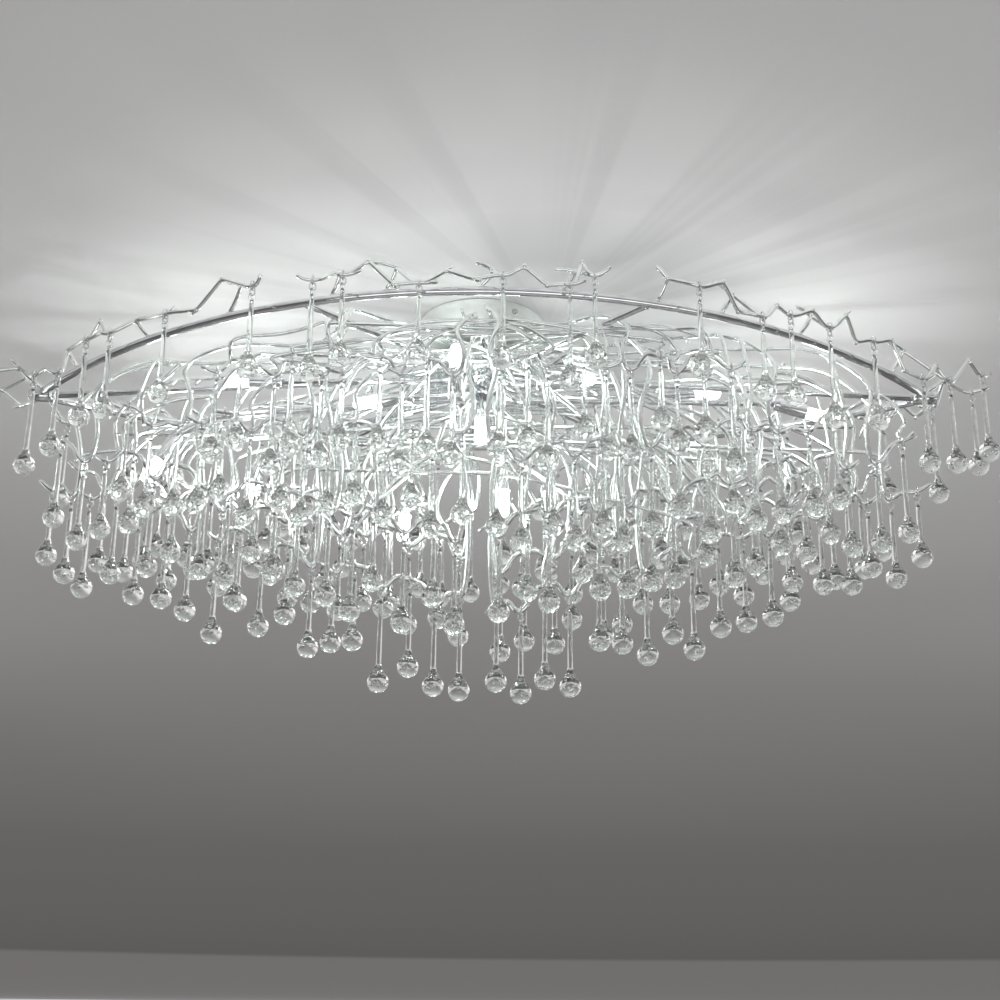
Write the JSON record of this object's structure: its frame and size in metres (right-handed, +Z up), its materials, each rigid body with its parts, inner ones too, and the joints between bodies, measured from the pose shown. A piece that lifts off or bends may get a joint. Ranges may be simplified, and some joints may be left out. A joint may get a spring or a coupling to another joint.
{
  "type": "crystal chandelier",
  "caption": "Flush ceiling chandelier: pointed oval tube hoop with wire branches, small capsule lamps and solid glass drops on chain links.",
  "frame": {"origin": "centre of the mounting plate's ceiling face", "axes": "+Z up into the ceiling, +X along the hoop from tip to tip, -Y the side that the picture shows"},
  "size_m": [1.2238, 0.5199, 0.471],
  "materials": {
    "chrome": "polished",
    "steel": "plain zinc plated",
    "crystal": "clear, seeded ball",
    "bulb_glass": "frosted, lit",
    "white_ceramic": "glazed",
    "white_plastic": "moulded"
  },
  "bodies": {
    "frame": {"mounting_plate": "steel", "canopy": "chrome", "canopy_screws": "chrome", "terminal_block": "white_plastic", "stem": "chrome", "hub": "chrome", "front_rail": "chrome", "back_rail": "chrome", "tip_collars": "chrome", "spine_arms": "chrome", "struts": "chrome", "front_rim_twigs": "chrome", "back_rim_twigs": "chrome", "front_branches": "chrome", "middle_branches": "chrome", "back_branches": "chrome", "lamp_holders": "chrome", "lamp_sockets": "white_ceramic", "lamp_arms": "chrome", "bulbs": "bulb_glass"},
    "line_01": {"drops_01": "crystal", "links_01": "chrome"},
    "line_02": {"drops_02": "crystal", "links_02": "chrome"},
    "line_03": {"drops_03": "crystal", "links_03": "chrome"},
    "line_04": {"drops_04": "crystal", "links_04": "chrome"},
    "line_05": {"drops_05": "crystal", "links_05": "chrome"},
    "line_06": {"drops_06": "crystal", "links_06": "chrome"},
    "line_07": {"drops_07": "crystal", "links_07": "chrome"},
    "line_08": {"drops_08": "crystal", "links_08": "chrome"},
    "line_09": {"drops_09": "crystal", "links_09": "chrome"},
    "line_10": {"drops_10": "crystal", "links_10": "chrome"},
    "line_11": {"drops_11": "crystal", "links_11": "chrome"},
    "line_12": {"drops_12": "crystal", "links_12": "chrome"},
    "line_13": {"drops_13": "crystal", "links_13": "chrome"},
    "line_14": {"drops_14": "crystal", "links_14": "chrome"},
    "line_15": {"drops_15": "crystal", "links_15": "chrome"},
    "line_16": {"drops_16": "crystal", "links_16": "chrome"},
    "line_17": {"drops_17": "crystal", "links_17": "chrome"},
    "line_18": {"drops_18": "crystal", "links_18": "chrome"},
    "line_19": {"drops_19": "crystal", "links_19": "chrome"},
    "line_20": {"drops_20": "crystal", "links_20": "chrome"}
  },
  "joints": [
    {"name": "swing_01", "type": "hinge", "parent": "frame", "child": "line_01", "pos_m": [0, -0.249, -0.06], "axis": [1, 0, 0], "range_deg": [-9, 9]},
    {"name": "swing_02", "type": "hinge", "parent": "frame", "child": "line_02", "pos_m": [-0.215, -0.24098, -0.06], "axis": [-0.8716, 0.4889, -0.0362], "range_deg": [-9, 9]},
    {"name": "swing_03", "type": "hinge", "parent": "frame", "child": "line_03", "pos_m": [0.215, -0.24098, -0.06], "axis": [0.8716, 0.4889, -0.0362], "range_deg": [-9, 9]},
    {"name": "swing_04", "type": "hinge", "parent": "frame", "child": "line_04", "pos_m": [0, 0.249, -0.06], "axis": [1, 0, 0], "range_deg": [-9, 9]},
    {"name": "swing_05", "type": "hinge", "parent": "frame", "child": "line_05", "pos_m": [-0.215, 0.24098, -0.06], "axis": [-0.8716, -0.4889, -0.0362], "range_deg": [-9, 9]},
    {"name": "swing_06", "type": "hinge", "parent": "frame", "child": "line_06", "pos_m": [0.215, 0.24098, -0.06], "axis": [0.8716, -0.4889, -0.0362], "range_deg": [-9, 9]},
    {"name": "swing_07", "type": "hinge", "parent": "frame", "child": "line_07", "pos_m": [0, -0.174, -0.14373], "axis": [-0.9976, 0.0643, 0.0264], "range_deg": [-9, 9]},
    {"name": "swing_08", "type": "hinge", "parent": "frame", "child": "line_08", "pos_m": [0, -0.174, -0.13173], "axis": [0.9979, 0.0643, 0.0043], "range_deg": [-9, 9]},
    {"name": "swing_09", "type": "hinge", "parent": "frame", "child": "line_09", "pos_m": [0, -0.116, -0.20782], "axis": [-0.9944, 0.0427, 0.0968], "range_deg": [-9, 9]},
    {"name": "swing_10", "type": "hinge", "parent": "frame", "child": "line_10", "pos_m": [0, -0.116, -0.22582], "axis": [0.9907, 0.0426, 0.1294], "range_deg": [-9, 9]},
    {"name": "swing_11", "type": "hinge", "parent": "frame", "child": "line_11", "pos_m": [0, -0.058, -0.30391], "axis": [-0.9749, 0.0209, 0.2216], "range_deg": [-9, 9]},
    {"name": "swing_12", "type": "hinge", "parent": "frame", "child": "line_12", "pos_m": [0, -0.058, -0.28791], "axis": [0.9808, 0.0211, 0.1939], "range_deg": [-9, 9]},
    {"name": "swing_13", "type": "hinge", "parent": "frame", "child": "line_13", "pos_m": [0, 0, -0.371], "axis": [-0.9568, 0, 0.2906], "range_deg": [-9, 9]},
    {"name": "swing_14", "type": "hinge", "parent": "frame", "child": "line_14", "pos_m": [0, 0, -0.379], "axis": [0.9528, 0, 0.3035], "range_deg": [-9, 9]},
    {"name": "swing_15", "type": "hinge", "parent": "frame", "child": "line_15", "pos_m": [0, 0.058, -0.28591], "axis": [-0.9815, -0.0211, 0.1904], "range_deg": [-9, 9]},
    {"name": "swing_16", "type": "hinge", "parent": "frame", "child": "line_16", "pos_m": [0, 0.058, -0.30591], "axis": [0.9741, -0.0209, 0.2251], "range_deg": [-9, 9]},
    {"name": "swing_17", "type": "hinge", "parent": "frame", "child": "line_17", "pos_m": [0, 0.116, -0.22382], "axis": [-0.9911, -0.0426, 0.1258], "range_deg": [-9, 9]},
    {"name": "swing_18", "type": "hinge", "parent": "frame", "child": "line_18", "pos_m": [0, 0.116, -0.20982], "axis": [0.994, -0.0427, 0.1004], "range_deg": [-9, 9]},
    {"name": "swing_19", "type": "hinge", "parent": "frame", "child": "line_19", "pos_m": [0, 0.174, -0.12973], "axis": [-0.9979, -0.0643, 0.0006], "range_deg": [-9, 9]},
    {"name": "swing_20", "type": "hinge", "parent": "frame", "child": "line_20", "pos_m": [0, 0.174, -0.14573], "axis": [0.9975, -0.0643, 0.0301], "range_deg": [-9, 9]}
  ]
}
